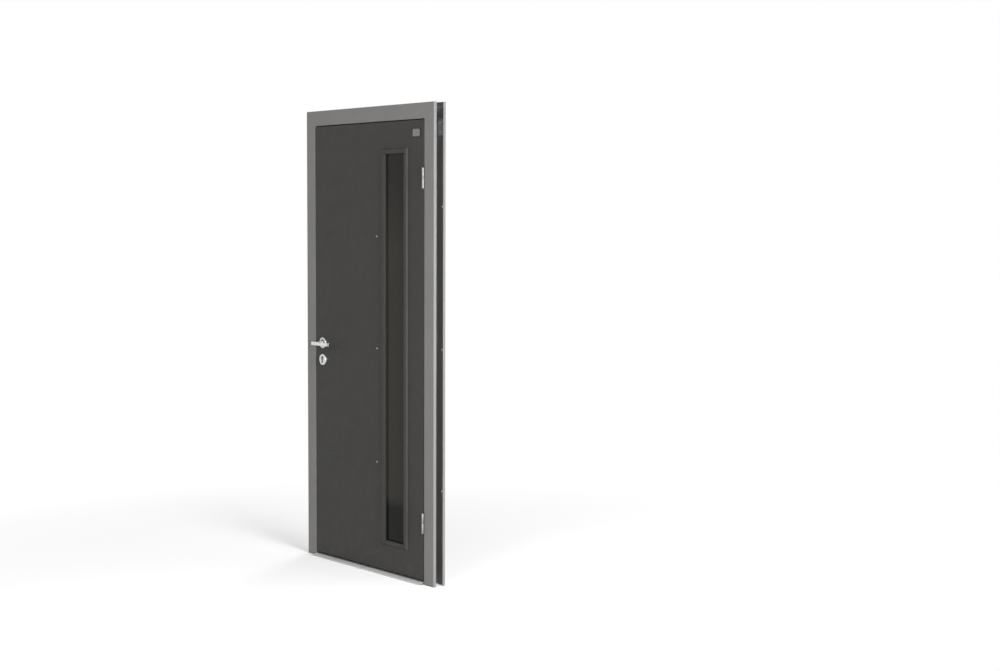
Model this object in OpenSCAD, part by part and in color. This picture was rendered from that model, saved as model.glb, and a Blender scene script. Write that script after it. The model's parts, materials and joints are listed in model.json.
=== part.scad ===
// Metal shed door: a double-skinned steel leaf with a tall slim window, hung in a folded steel frame.
// X runs to the right seen from outside, Y runs inwards from the outer face, Z runs up from the floor.
// The lock edge is on the left and the hinges are on the right; the leaf opens outwards.

/* [Leaf] */
// Width of the leaf
leaf_w = 840; // [780:1:960]
// Height of the leaf
leaf_h = 2040; // [1960:1:2160]
// Thickness of the leaf over its folded edges
leaf_t = 40; // [38:0.5:48]
// Sheet thickness of both skins
skin_t = 1.2; // [0.8:0.1:1.5]
// Outside radius of the folded front edges
leaf_edge_r = 2.5; // [2:0.1:4]
// Width of the lip that folds round the inner skin
hem_w = 15; // [12:0.5:18]
// Room between sheet parts that slide together
fit = 0.3; // [0.2:0.05:0.4]

/* [Beads] */
// Height of the lowest pressed bead above the leaf's bottom
bead_low = 492; // [400:1:600]
// Height of the highest pressed bead above the leaf's bottom
bead_high = 1526; // [1420:1:1620]
// Width of a bead at the face
bead_w = 12; // [10:0.5:16]
// Height of a bead above the face
bead_h = 2.5; // [1.5:0.1:3.5]
// Distance from the lock edge to the start of a bead
bead_start = 60; // [45:1:120]
// Distance from the end of a bead to the window opening
bead_end_gap = 57; // [45:1:90]

/* [Window] */
// Width of the visible opening
win_w = 148; // [100:1:180]
// Distance from the opening to the hinge edge
win_inset = 135; // [110:1:180]
// Distance from the opening to the leaf's bottom
win_bottom = 140; // [110:1:240]
// Distance from the opening to the leaf's top
win_top = 143; // [110:1:240]
// Flat width of the outer bezel
bezel_w = 17; // [12:0.5:20]
// Run of the bezel's sloping outer side
bezel_slope = 6; // [3:0.5:8]
// Height of the bezel above the outer skin
bezel_h = 8; // [5:0.25:10]
// Edge height of the bezel where it meets the skin
bezel_lip = 0.8; // [0.5:0.1:1.5]
// Wall of the bezel
bezel_wall = 2; // [1.5:0.25:3]
// Depth from the outer face to the end of the bezel's tube
rim_d = 4; // [3:0.5:8]
// Thickness of the glazing gasket
gasket_t = 2; // [1.5:0.25:3]
// Thickness of the acrylic pane
pane_t = 4; // [3:0.5:6]
// Overlap of the pane behind the opening
pane_lap = 10; // [8:0.5:14]
// Width of the inner retainer's flange
trim_w = 22; // [18:0.5:30]
// Sheet thickness of the inner retainer
trim_t = 1.5; // [1:0.1:2]
// Number of retainer screws on each long side
trim_screws = 6; // [3:1:9]
// Shank diameter of a retainer screw
trim_screw_d = 3.2; // [2.5:0.1:4]

/* [Frame] */
// Width of the frame's face
face_w = 70; // [60:1:100]
// Sheet thickness of the frame
frame_t = 1.5; // [1.2:0.1:2]
// Inside radius of the frame's folds
bend_r = 1.5; // [1:0.1:2.5]
// Gap between the leaf's edges and the reveal
gap_side = 4; // [3.6:0.1:6]
// Gap above the leaf
gap_top = 4; // [3:0.1:8]
// Depth of the space for the seal behind the leaf
seal_space = 6; // [5:0.25:8]
// Width of the stop behind the leaf, from the reveal
stop_w = 18; // [16:0.5:22]
// Depth of the frame behind the stop
back_d = 20; // [16:0.5:30]
// Depth of the lip on the face's outer edge
lip_front = 14; // [8:0.5:18]
// Depth of the lip on the back flange's outer edge
lip_back = 14; // [8:0.5:18]
// Radius of the seal's bubble
seal_r = 5; // [4:0.25:5.5]
// Wall of the seal's bubble
seal_wall = 1.4; // [1:0.1:2]

/* [Fixings] */
// Diameter of the wall fixing holes in the back flanges
fixing_d = 6.5; // [5:0.5:9]
// Distance of the fixing holes from the reveal
fixing_inset = 46; // [35:1:52]
// Height of the lowest fixing holes
fixing_low = 420; // [350:5:600]
// Height of the highest fixing holes
fixing_high = 1680; // [1500:5:1720]
// Arm length of a corner cleat beyond the mitre
cleat_arm = 75; // [60:1:110]
// Width of a corner cleat
cleat_w = 40; // [30:1:46]
// Thickness of a corner cleat
cleat_t = 2.5; // [2:0.25:4]
// Shank diameter of the frame's screws
frame_screw_d = 4.2; // [3.5:0.1:5]

/* [Threshold] */
// Height of the threshold in front of the leaf
sill_h = 10; // [8:0.5:16]
// Gap between the threshold and the leaf
gap_bottom = 10; // [6:0.5:14]
// Reach of the nose in front of the outer face
sill_nose = 24; // [15:1:40]
// Run of the nose's sloping top
nose_run = 10; // [6:0.5:14]
// Drop of the nose's sloping top
nose_drop = 3; // [1:0.25:4]
// Wall of the threshold extrusion
sill_wall = 2; // [1.5:0.25:2.5]
// Outer radius of a screw port in the extrusion
port_r = 4.5; // [3.5:0.25:5]

/* [Hinges] */
// Distance of each hinge's middle from the leaf's top or bottom
hinge_inset = 256; // [180:1:330]
// Height of a hinge
hinge_h = 90; // [75:1:110]
// Diameter of a hinge knuckle
knuckle_d = 10; // [9.5:0.5:14]
// Diameter of a hinge pin
pin_d = 6; // [4.5:0.25:6.5]
// Running clearance between a pin and a knuckle, on the radius
pin_clear = 0.05; // [0.02:0.01:0.1]
// Width of a hinge plate behind the face
plate_w = 31; // [26:0.5:34]
// Room between the two plates of a hinge
plate_gap = 0.4; // [0.3:0.05:0.6]
// Thickness of the bearing washer between the knuckles
washer_t = 1; // [0.6:0.1:2]
// Distance between the screws in a hinge plate
plate_pitch = 31; // [26:0.5:34]
// Thickness of the tapped plates behind the hinges
backing_t = 4; // [3:0.25:5]

/* [Lever] */
// Height of the lever axis above the leaf's bottom
lever_h = 1015; // [960:1:1070]
// Distance of the lever axis from the lock edge
backset = 65; // [60:0.5:70]
// Length of the lever from its axis to its tip
lever_l = 120; // [100:1:140]
// Projection of the lever from the skin
lever_out = 66; // [56:0.5:75]
// Height of the lever's grip
grip_h = 16; // [12:0.5:18]
// Depth of the lever's grip
grip_d = 12.5; // [10:0.5:16]
// Corner radius of the lever's section
grip_r = 2.5; // [1.5:0.25:5]
// Length of the grip behind the lever's axis
grip_back = 9; // [8.5:0.25:14]
// Width of the lever's neck
neck_w = 16; // [14:0.25:16.5]
// Diameter of the lever's round collar
collar_d = 20; // [18:0.5:22]
// Width of the square spindle
spindle_w = 8; // [7:0.5:9]

/* [Roses] */
// Diameter of the roses
rose_d = 52; // [50:0.5:56]
// Height of the roses above the skin
rose_h = 9; // [8:0.25:12]
// Radius of a rose's rounded rim
rose_r = 2.5; // [1.5:0.25:3.5]
// Wall of a rose's cover
rose_wall = 1.2; // [0.8:0.1:1.5]
// Diameter of the eye in the lever rose's cover
rose_eye = 32; // [28:0.5:34]
// Depth of the dish in the base behind the eye
rose_dish = 3; // [1:0.25:4]
// Distance of the key rose's middle below the key axis
key_rose_drop = 8; // [6:0.25:9]
// Distance of the through bolts from the rose's middle
rose_bolt = 19.5; // [19:0.25:20]
// Shank diameter of the through bolts
rose_bolt_d = 4; // [3:0.25:4.5]

/* [Lock] */
// Distance from the lever axis to the key axis
key_drop = 72; // [70:0.5:78]
// Width of the forend
forend_w = 22; // [20:0.5:24]
// Thickness of the forend
forend_t = 3; // [2.5:0.25:4]
// Length of the forend above and below the case
forend_end = 30; // [24:1:40]
// Length of the lock case behind the forend
case_l = 92; // [88:0.5:100]
// Thickness of the lock case
case_t = 15; // [14:0.25:17]
// Wall of the lock case
case_wall = 1.5; // [1:0.1:1.8]
// Height of the case above the lever axis
case_up = 44; // [40:0.5:56]
// Depth of the case below the key axis
case_down = 52; // [40:0.5:70]
// Reach of the latch bolt beyond the forend at rest
latch_out = 11; // [9:0.5:12]
// Height of the latch bolt
latch_h = 22; // [18:0.5:24]
// Height of the dead bolt
bolt_h = 28; // [24:0.5:30]
// Radius of the follower
follower_r = 13; // [12:0.25:13.5]
// Reach of the follower's arm from the lever axis
follower_arm = 20; // [18:0.25:20]
// Width of the follower's arm
follower_arm_w = 6; // [5:0.25:7]
// Reach of the cylinder beyond the key roses
cylinder_proud = 2; // [1:0.25:4]
// Radius of the cylinder's plug
plug_r = 6.4; // [6:0.1:6.8]
// Reach of the cam from the key axis
cam_r = 15; // [13:0.25:15.5]
// Room round the moving pieces of the lock
lock_clear = 0.3; // [0.25:0.05:0.35]

/* [Strike] */
// Thickness of the strike plate
strike_t = 1.5; // [1:0.1:2]
// Width of the strike plate
strike_w = 26; // [24:0.5:30]
// Room round the bolts in the strike plate
strike_room = 2; // [1.5:0.25:3]
// Throw of the dead bolt into the jamb
bolt_throw = 20; // [18:0.5:22]
// Wall of the box that is welded behind the strike openings
strike_box_wall = 1.2; // [1:0.1:1.5]

/* [Hidden] */
$fn = 48;

leaf_grey = [0.27, 0.27, 0.26];
frame_grey = [0.50, 0.50, 0.49];
steel = [0.72, 0.72, 0.71];
zinc = [0.62, 0.64, 0.66];
aluminium = [0.74, 0.74, 0.73];
rubber = [0.08, 0.08, 0.08];
smoke = [0.20, 0.20, 0.20];
past = 1;                                   // how far a cut runs past a face

// Leaf and frame planes
lock_edge = -leaf_w / 2;
hinge_edge = leaf_w / 2;
leaf_z = sill_h + gap_bottom;
leaf_top = leaf_z + leaf_h;
leaf_mid = leaf_z + leaf_h / 2;
reveal_x = leaf_w / 2 + gap_side;
head_z = leaf_top + gap_top;
frame_top = head_z + face_w;
stop_y = leaf_t + seal_space;
back_y = stop_y + back_d;
skin_back = leaf_t - skin_t;                // the inner skin's room-side face
lid_y = skin_back - skin_t;                 // the inner skin's cavity-side face
lock_y = skin_back / 2;                     // the lock's middle plane
sill_top = leaf_z + stop_w - gap_side;      // top of the threshold's stop
seal_clear = 0.3;
seal_cut = 0.3;                             // play between two lengths of the seal
// The seal's middle line inside the leaf's edge: its base ends where the stop's bend begins
seal_line = stop_w - gap_side - bend_r - frame_t - seal_r;

// Window planes
win_h = leaf_h - win_bottom - win_top;
win_x = hinge_edge - win_inset - win_w / 2;
win_z = leaf_z + win_bottom + win_h / 2;
pane_y = rim_d + gasket_t;
pane_back = pane_y + pane_t;
trim_face = skin_back + trim_t;

// Hinge places
hinge_x = hinge_edge + gap_side / 2;
knuckle_r = knuckle_d / 2;
hinge_y = -knuckle_r - fit;
hinge_zs = [leaf_top - hinge_inset, leaf_z + hinge_inset];
plate_t = (gap_side - plate_gap) / 2;
plate_y0 = 1;
plate_screw_y = plate_y0 + plate_w * 0.55;
plate_screw_d = 4;
plate_head_d = 7.4;
backing_in = 2;                             // start of a backing plate behind the leaf's round edge
pin_foot = 3;                               // solid foot of the fixed knuckle
pin_cap = 4;                                // solid cap of the lifting knuckle
pin_z0 = pin_foot - hinge_h / 2;
pin_z1 = hinge_h / 2 - pin_cap;

// Screws
screw_room = 0.1;                           // room round a screw in a plain hole
screw_end = 3;                              // how far a screw runs past what it is tapped into
pan_h = 2;                                  // height of a pan head

// Lock places
lever_x = lock_edge + backset;
lever_z = leaf_z + lever_h;
key_z = lever_z - key_drop;
key_rose_z = key_z - key_rose_drop;
case_x = lock_edge + forend_t;
case_top = lever_z + case_up;
case_bottom = key_z - case_down;
case_mid = (case_top + case_bottom) / 2;
forend_h = case_top - case_bottom + 2 * forend_end;
case_inside = case_t - 2 * case_wall;
bolt_t = case_inside - 2 * lock_clear;
latch_z0 = lever_z + follower_r;            // underside of the latch bolt
latch_tip = lock_edge - latch_out;
bolt_z1 = lever_z - follower_r - 1;         // top of the dead bolt
bolt_z0 = bolt_z1 - bolt_h;
journal_r = 9;
saddle_t = 2;
saddle_leg = 20;
saddle_end = 5;                             // reach of the saddle past the forend
saddle_r = 1.5;
skin_room = 0.5;                            // room round the lock's pieces in the skins
cylinder_room = 0.4;                        // room round the cylinder in the case and the roses
turn_room = 0.5;                            // room round the follower and the cam
rose_base_h = rose_h - rose_wall;
rose_base_r = rose_d / 2 - rose_wall - screw_room;
collar_r = collar_d / 2;
neck_h = grip_h - 1;                        // the neck stands a little inside the grip's height
grip_y = -lever_out + grip_d / 2;           // middle plane of the grip
collar_neck = 3;
collar_end = -rose_h - collar_neck;
cylinder_y0 = -rose_h - cylinder_proud;
cylinder_y1 = skin_back + rose_h + cylinder_proud;
profile_r = 8.5;                            // round head of the cylinder's section
profile_web = 10;                           // width of its web
profile_drop = 19.5;                        // centre of its round foot below the key axis
cam_half = 4.7;

// A box between two corners
module span(a, b) { translate(a) cube(b - a); }

function unit(v) = v / norm(v);

// A sheet of thickness t along a path of right-angled legs, with bends of inside radius r
module folded(path, t, r) {
    rm = r + t / 2;
    last = len(path) - 1;
    for (i = [0:last - 1]) {
        d = unit(path[i + 1] - path[i]);
        a = path[i] + (i > 0 ? rm : 0) * d;
        b = path[i + 1] - (i < last - 1 ? rm : 0) * d;
        side = t / 2 * [abs(d.y), abs(d.x)];
        low = [min(a.x, b.x), min(a.y, b.y)] - side;
        high = [max(a.x, b.x), max(a.y, b.y)] + side;
        translate(low) square(high - low);
    }
    for (i = [1:last - 1]) {
        u = unit(path[i] - path[i - 1]);
        v = unit(path[i + 1] - path[i]);
        corner = (rm + t / 2) * (u - v);
        translate(path[i] - rm * u + rm * v) intersection() {
            difference() {
                circle(rm + t / 2);
                circle(rm - t / 2);
            }
            translate([min(0, corner.x), min(0, corner.y)]) square([abs(corner.x), abs(corner.y)]);
        }
    }
}

// Outlines in X and Z, pushed from y0 to y1
module along_y(y0, y1) { translate([0, y1, 0]) rotate([90, 0, 0]) linear_extrude(y1 - y0) children(); }

// Outlines in Y and Z, pushed from x0 to x1
module along_x(x0, x1) { translate([x0, 0, 0]) rotate([90, 0, 90]) linear_extrude(x1 - x0) children(); }

module rod_y(r, y0, y1) { translate([0, y0, 0]) rotate([-90, 0, 0]) cylinder(r = r, h = y1 - y0); }

module rod_x(r, x0, x1) { translate([x0, 0, 0]) rotate([0, 90, 0]) cylinder(r = r, h = x1 - x0); }

// A square-edged ring round an opening w by h, out wide, from y0 to y1
module box_ring(w, h, out, y0, y1) {
    difference() {
        span([-w / 2 - out, y0, -h / 2 - out], [w / 2 + out, y1, h / 2 + out]);
        span([-w / 2, y0 - past, -h / 2], [w / 2, y1 + past, h / 2]);
    }
}

// A panel w by h whose four sides slope back from the front at -y to a low edge
module sloped_panel(w, h, y, slope, edge) {
    intersection() {
        translate([0, 0, -h / 2]) linear_extrude(h) sloped_front(w, y, slope, edge);
        translate([-w / 2, 0, 0]) rotate([0, 90, 0]) linear_extrude(w) sloped_front(h, y, slope, edge);
    }
}

module sloped_front(w, y, slope, edge) {
    polygon([[-w / 2, 0], [-w / 2, -edge], [slope - w / 2, -y],
        [w / 2 - slope, -y], [w / 2, -edge], [w / 2, 0]]);
}

// A rectangle with round corners on its sides
module soft_rect(w, h, r) {
    square([w - 2 * r, h], center = true);
    square([w, h - 2 * r], center = true);
    for (x = [-1, 1], y = [-1, 1]) translate([x * (w / 2 - r), y * (h / 2 - r)]) circle(r);
}

// A section w wide from y0 to y1 whose two front corners are round
module soft_front(w, y0, y1, r) {
    translate([-w / 2, y0 + r]) square([w, y1 - y0 - r]);
    translate([r - w / 2, y0]) square([w - 2 * r, r]);
    for (x = [-1, 1]) translate([x * (w / 2 - r), y0 + r]) circle(r);
}

// A panel w by h from y0 to y1 with round front edges on all four sides
module soft_panel(w, h, y0, y1, r) {
    intersection() {
        translate([0, 0, -h / 2]) linear_extrude(h) soft_front(w, y0, y1, r);
        translate([-w / 2, 0, 0]) rotate([0, 90, 0]) linear_extrude(w) soft_front(h, y0, y1, r);
    }
}

// Copies on the outer and the inner side of the leaf
module inner_side() { translate([0, skin_back, 0]) mirror([0, 1, 0]) children(); }

module at_lever() { translate([lever_x, 0, lever_z]) children(); }

module at_key() { translate([lever_x, 0, key_z]) children(); }

module at_key_rose() { translate([lever_x, 0, key_rose_z]) children(); }

module at_window() { translate([win_x, 0, win_z]) children(); }

// The outline of the lock cylinder, grown by some room
module cylinder_outline(room) {
    circle(profile_r + room);
    translate([0, -profile_drop]) circle(profile_web / 2 + room);
    translate([-profile_web / 2 - room, -profile_drop]) square([profile_web + 2 * room, profile_drop]);
}

// Countersunk screw along X, head at x = 0, shank towards +X
module sunk_screw(d, head_d, head_h, length) {
    rotate([0, 90, 0]) {
        cylinder(r1 = head_d / 2, r2 = d / 2, h = head_h);
        cylinder(r = d / 2, h = length);
    }
}

// Hole for a countersunk screw, with room round the head and the shank
module sunk_hole(d, head_d, head_h, length) {
    rotate([0, 90, 0]) {
        translate([0, 0, -screw_room])
            cylinder(r1 = head_d / 2 + 2 * screw_room, r2 = d / 2 + screw_room, h = head_h + screw_room);
        cylinder(r = d / 2 + screw_room, h = length);
    }
}

// Pan-headed screw along Y: its shank starts at y0 and its head stands on the seat
module pan_screw(d, y0, seat) {
    rod_y(d / 2, y0, seat);
    rod_y(d, seat, seat + pan_h);
}

// Frame: folded jambs and head with mitred corners

// The frame's section: distance outwards from the reveal, and depth from the outer face
frame_path = let (h = frame_t / 2) [
    [face_w - h, lip_front], [face_w - h, h], [h, h], [h, stop_y + h], [h - stop_w, stop_y + h],
    [h - stop_w, back_y - h], [face_w - h, back_y - h], [face_w - h, back_y - lip_back]];

module jamb_bar() {
    difference() {
        linear_extrude(frame_top) translate([reveal_x, 0]) folded(frame_path, frame_t, bend_r);
        along_y(-past, back_y + past) translate([reveal_x, head_z]) polygon([
            [-stop_w - past, -stop_w - past], [face_w + past, face_w + past],
            [face_w + past, face_w + 2 * past], [-stop_w - past, face_w + 2 * past]]);
        fixing_holes();
        cleat_holes(screw_room);
        threshold_screw_holes();
    }
}

// Wall fixing holes through one jamb's back flange
module fixing_holes() {
    for (z = [fixing_low, (fixing_low + fixing_high) / 2, fixing_high])
        translate([reveal_x + fixing_inset, 0, z])
            rod_y(fixing_d / 2, back_y - frame_t - past, back_y + past);
}

// Places of the corner screws as distances outwards and upwards from the reveal's corner
cleat_in = (face_w - cleat_w) / 2;
cleat_row = cleat_in + cleat_w / 2;
cleat_spots = [[cleat_row, -cleat_arm * 0.25], [cleat_row, -cleat_arm * 0.75],
    [-cleat_arm * 0.25, cleat_row], [-cleat_arm * 0.75, cleat_row]];

module at_cleat_spots() {
    for (p = cleat_spots) translate([reveal_x + p.x, 0, head_z + p.y]) children();
}

module cleat_holes(room) {
    at_cleat_spots() rod_y(frame_screw_d / 2 + room, back_y - frame_t - cleat_t - past, back_y + past);
}

module hinge_jamb() {
    color(frame_grey) difference() {
        jamb_bar();
        frame_hinge_holes(screw_room);
    }
}

module lock_jamb() {
    color(frame_grey) difference() {
        mirror([1, 0, 0]) jamb_bar();
        strike_openings(strike_room + jamb_room, -reveal_x - frame_t - past, past - reveal_x);
        for (z = strike_screw_zs) translate([-reveal_x, lock_y, z])
            rod_x(strike_screw_d / 2, -frame_t - past, past);
    }
    color(frame_grey) difference() {
        strike_box(strike_box_wall, -reveal_x - frame_t / 2);
        strike_box(0, past - reveal_x - frame_t);
    }
}

// The space for both bolts behind the lock jamb, grown by a wall, from its closed end to x1
module strike_box(wall, x1) {
    room = strike_room + jamb_room + wall;
    half = bolt_t / 2 + room;
    span([lock_edge - bolt_throw - strike_room - wall, lock_y - half, bolt_z0 - room],
        [x1, lock_y + half, latch_z0 + latch_h + room]);
}

module frame_head() {
    reach = reveal_x + face_w;
    inner = reveal_x - stop_w;
    color(frame_grey) difference() {
        intersection() {
            along_x(-reach, reach) folded([for (p = frame_path) [p.y, head_z + p.x]], frame_t, bend_r);
            along_y(-past, back_y + past) polygon([[past - inner, head_z - stop_w - past],
                [inner - past, head_z - stop_w - past], [reach + past, head_z + face_w + past],
                [-reach - past, head_z + face_w + past]]);
        }
        for (flip = [0, 1]) mirror([flip, 0, 0]) cleat_holes(screw_room);
    }
}

module corner_cleats() {
    low = cleat_in;
    high = cleat_in + cleat_w;
    color(zinc) for (flip = [0, 1]) mirror([flip, 0, 0]) difference() {
        along_y(back_y - frame_t - cleat_t, back_y - frame_t) translate([reveal_x, head_z]) polygon([
            [-cleat_arm, low], [low, low], [low, -cleat_arm],
            [high, -cleat_arm], [high, high], [-cleat_arm, high]]);
        cleat_holes(0);
    }
}

module corner_screws() {
    color(steel) for (flip = [0, 1]) mirror([flip, 0, 0]) at_cleat_spots()
        pan_screw(frame_screw_d, back_y - frame_t - cleat_t - screw_end, back_y);
}

// The seal: a hollow bubble on the stop, in four lengths that are cut to a mitre
module frame_seal() {
    w = leaf_w - 2 * seal_line;
    h = leaf_h - 2 * seal_line;
    color(rubber) translate([0, 0, leaf_mid]) for (flip = [0, 1]) {
        mirror([flip, 0, 0]) translate([w / 2, 0, 0]) seal_length(h - seal_cut);
        mirror([0, 0, flip]) rotate([0, -90, 0]) translate([h / 2, 0, 0]) seal_length(w - seal_cut);
    }
}

module seal_length(run) {
    end = run / 2;
    out = 2 * seal_r;
    intersection() {
        translate([0, 0, -end - seal_r]) linear_extrude(run + 2 * seal_r) seal_section();
        along_y(leaf_t - past, stop_y + past)
            polygon([[-out, out - end], [out, -out - end], [out, out + end], [-out, end - out]]);
    }
}

module seal_section() {
    middle = leaf_t + seal_clear + seal_r;
    difference() {
        intersection() {
            union() {
                translate([0, middle]) circle(seal_r);
                translate([-seal_r, stop_y - seal_wall]) square([2 * seal_r, seal_wall]);
            }
            translate([-seal_r, leaf_t]) square([2 * seal_r, seal_space]);
        }
        intersection() {
            translate([0, middle]) circle(seal_r - seal_wall);
            translate([-seal_r, leaf_t]) square([2 * seal_r, seal_space - seal_wall]);
        }
    }
}

// Threshold: a hollow aluminium extrusion between the jambs
port_sink = 0.5;                            // how far a screw port sinks into its wall
port_in = sill_wall + port_r - port_sink;
port_y = stop_y + back_d / 2;
port_zs = [port_in, sill_top - port_in];
port_screw_l = 18;

module sill_section() {
    w = sill_wall;
    rib = (stop_y - sill_nose) / 2;
    difference() {
        polygon([[-sill_nose, 0], [back_y, 0], [back_y, sill_top], [stop_y, sill_top], [stop_y, sill_h],
            [nose_run - sill_nose, sill_h], [-sill_nose, sill_h - nose_drop]]);
        polygon([[w - sill_nose, w], [rib, w], [rib, sill_h - w], [nose_run - sill_nose, sill_h - w],
            [w - sill_nose, sill_h - nose_drop - w]]);
        translate([rib + w, w]) square([stop_y - rib - w, sill_h - 2 * w]);
        difference() {
            translate([stop_y + w, w]) square([back_d - 2 * w, sill_top - 2 * w]);
            for (z = port_zs) translate([port_y, z]) circle(port_r);
        }
        for (z = port_zs) translate([port_y, z]) circle(frame_screw_d / 2);
    }
}

module threshold() {
    color(aluminium) difference() {
        along_x(-reveal_x, reveal_x) sill_section();
        for (side = [-1, 1]) translate([side * reveal_x, 0, 0])
            threshold_notch();
    }
}

// Room at an end of the threshold for the jamb's stop and for the fold in front of it
module threshold_notch() {
    span([-stop_w, stop_y, -past], [stop_w, back_y + past, sill_top + past]);
    span([-bend_r, stop_y - bend_r, -past], [bend_r, stop_y + past, sill_top + past]);
}

module at_ports() {
    for (z = port_zs) translate([reveal_x - stop_w, port_y, z]) children();
}

module threshold_screw_holes() {
    at_ports() rod_x(frame_screw_d / 2 + screw_room, -past, frame_t + past);
}

module threshold_screws() {
    color(steel) for (flip = [0, 1]) mirror([flip, 0, 0]) at_ports() rotate([0, 0, -90])
        pan_screw(frame_screw_d, -port_screw_l, frame_t);
}

// Strike plate on the lock jamb
strike_end = 20;
strike_screw_in = 8;
strike_corner_r = 3;
jamb_room = 1;                              // further room in the jamb behind the strike plate
strike_z0 = bolt_z0 - strike_end;
strike_z1 = latch_z0 + latch_h + strike_end;
strike_screw_zs = [strike_z0 + strike_screw_in, strike_z1 - strike_screw_in];
strike_screw_d = 3.6;
strike_head_d = 6.4;

module strike_openings(room, x0, x1) {
    half = bolt_t / 2 + room;
    span([x0, lock_y - half, latch_z0 - room], [x1, lock_y + half, latch_z0 + latch_h + room]);
    span([x0, lock_y - half, bolt_z0 - room], [x1, lock_y + half, bolt_z1 + room]);
}

module strike_plate() {
    color(steel) difference() {
        translate([0, lock_y, (strike_z0 + strike_z1) / 2]) along_x(-reveal_x, strike_t - reveal_x)
            soft_rect(strike_w, strike_z1 - strike_z0, strike_corner_r);
        strike_openings(strike_room, -reveal_x - past, strike_t - reveal_x + past);
        for (z = strike_screw_zs) translate([strike_t - reveal_x, lock_y, z]) mirror([1, 0, 0])
            sunk_hole(strike_screw_d, strike_head_d, strike_t, strike_t + past);
    }
}

module strike_screws() {
    color(steel) for (z = strike_screw_zs) translate([strike_t - reveal_x, lock_y, z]) mirror([1, 0, 0])
        sunk_screw(strike_screw_d, strike_head_d, strike_t, strike_t + frame_t + screw_end);
}

// Hinges: a fixed half on the reveal and a lifting half on the leaf's edge
module at_hinge(i) { translate([hinge_x, hinge_y, hinge_zs[i]]) children(); }

module plate_spots() {
    for (i = [-1:1]) translate([0, plate_screw_y, i * plate_pitch]) children();
}

// The plate and half knuckle that stand on the pin; side is 1 on the reveal and -1 on the leaf
module hinge_half(i, side) {
    z0 = side > 0 ? -hinge_h / 2 : washer_t / 2;
    z1 = side > 0 ? -washer_t / 2 : hinge_h / 2;
    face = hinge_x + side * gap_side / 2;
    inside = face - side * plate_t;
    low = min(face, inside);
    high = max(face, inside);
    translate([0, 0, hinge_zs[i]]) difference() {
        union() {
            span([low, plate_y0, -hinge_h / 2], [high, plate_y0 + plate_w, hinge_h / 2]);
            span([low, hinge_y, z0], [high, plate_y0 + past, z1]);
            translate([hinge_x, hinge_y, z0]) cylinder(r = knuckle_r, h = z1 - z0);
        }
        translate([hinge_x, hinge_y, pin_z0])
            cylinder(r = pin_d / 2 + pin_clear, h = pin_z1 - pin_z0 + pin_clear);
        plate_spots() translate([inside, 0, 0]) mirror([side < 0 ? 1 : 0, 0, 0])
            sunk_hole(plate_screw_d, plate_head_d, plate_t, plate_t + past);
    }
}

// A pin stands on the foot of the fixed knuckle and ends below the cap of the lifting one
module hinge_pin(i) {
    at_hinge(i) translate([0, 0, pin_z0]) cylinder(r = pin_d / 2, h = pin_z1 - pin_z0);
}

module upper_hinge_frame_leaf() { color(steel) hinge_half(0, 1); }

module lower_hinge_frame_leaf() { color(steel) hinge_half(1, 1); }

module upper_hinge_door_leaf() { color(steel) hinge_half(0, -1); }

module lower_hinge_door_leaf() { color(steel) hinge_half(1, -1); }

module upper_hinge_pin() { color(zinc) hinge_pin(0); }

module lower_hinge_pin() { color(zinc) hinge_pin(1); }

module hinge_washers() {
    color(rubber) for (i = [0, 1]) at_hinge(i) translate([0, 0, -washer_t / 2]) difference() {
        cylinder(r = knuckle_r - fit, h = washer_t);
        translate([0, 0, -past]) cylinder(r = pin_d / 2 + pin_clear, h = washer_t + 2 * past);
    }
}

module frame_hinge_holes(room) {
    for (z = hinge_zs) translate([reveal_x, 0, z]) plate_spots()
        rod_x(plate_screw_d / 2 + room, -past, frame_t + backing_t + past);
}

module leaf_hinge_holes(room) {
    for (z = hinge_zs) translate([hinge_edge, 0, z]) plate_spots()
        rod_x(plate_screw_d / 2 + room, -skin_t - backing_t - past, past);
}

module hinge_frame_screws() {
    color(steel) for (z = hinge_zs) translate([reveal_x - plate_t, 0, z]) plate_spots()
        sunk_screw(plate_screw_d, plate_head_d, plate_t, plate_t + frame_t + backing_t + screw_end);
}

module hinge_door_screws() {
    color(steel) for (z = hinge_zs) translate([hinge_edge + plate_t, 0, z]) plate_spots()
        mirror([1, 0, 0])
            sunk_screw(plate_screw_d, plate_head_d, plate_t, plate_t + skin_t + backing_t + screw_end);
}

module backing_plate(x0, x1) {
    for (z = hinge_zs) translate([0, 0, z])
        span([x0, leaf_edge_r + backing_in, -hinge_h / 2], [x1, plate_y0 + plate_w, hinge_h / 2]);
}

module frame_backing_plates() {
    color(zinc) difference() {
        backing_plate(reveal_x + frame_t, reveal_x + frame_t + backing_t);
        frame_hinge_holes(0);
    }
}

module leaf_backing_plates() {
    color(zinc) difference() {
        backing_plate(hinge_edge - skin_t - backing_t, hinge_edge - skin_t);
        leaf_hinge_holes(0);
    }
}

// Leaf: the outer skin is a pressed tray whose lips fold over the inner skin
bead_r = (bead_w * bead_w / 4 + bead_h * bead_h) / (2 * bead_h);
bead_x1 = win_x - win_w / 2 - bead_end_gap;
// Start and height of each bead; the middle one runs on from the lever's rose
beads = [[lock_edge + bead_start, bead_low], [lever_x + rose_d / 2 + bead_w, lever_h],
    [lock_edge + bead_start, bead_high]];

// Round-ended bars of radius r along the beads; their axes lie behind the face
module bead_bars(r) {
    for (b = beads) translate([0, bead_r - bead_h, leaf_z + b[1]]) rotate([0, 90, 0])
        translate([0, 0, b[0] + bead_w / 2]) rotate_extrude() bar_half(bead_x1 - b[0] - bead_w, r);
}

// Half the section of a round-ended bar: a run of length l with a quarter circle of radius r at each end
module bar_half(l, r) {
    intersection() {
        union() {
            square([r, l]);
            circle(r);
            translate([0, l]) circle(r);
        }
        translate([0, -r]) square([r, l + 2 * r]);
    }
}

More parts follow.
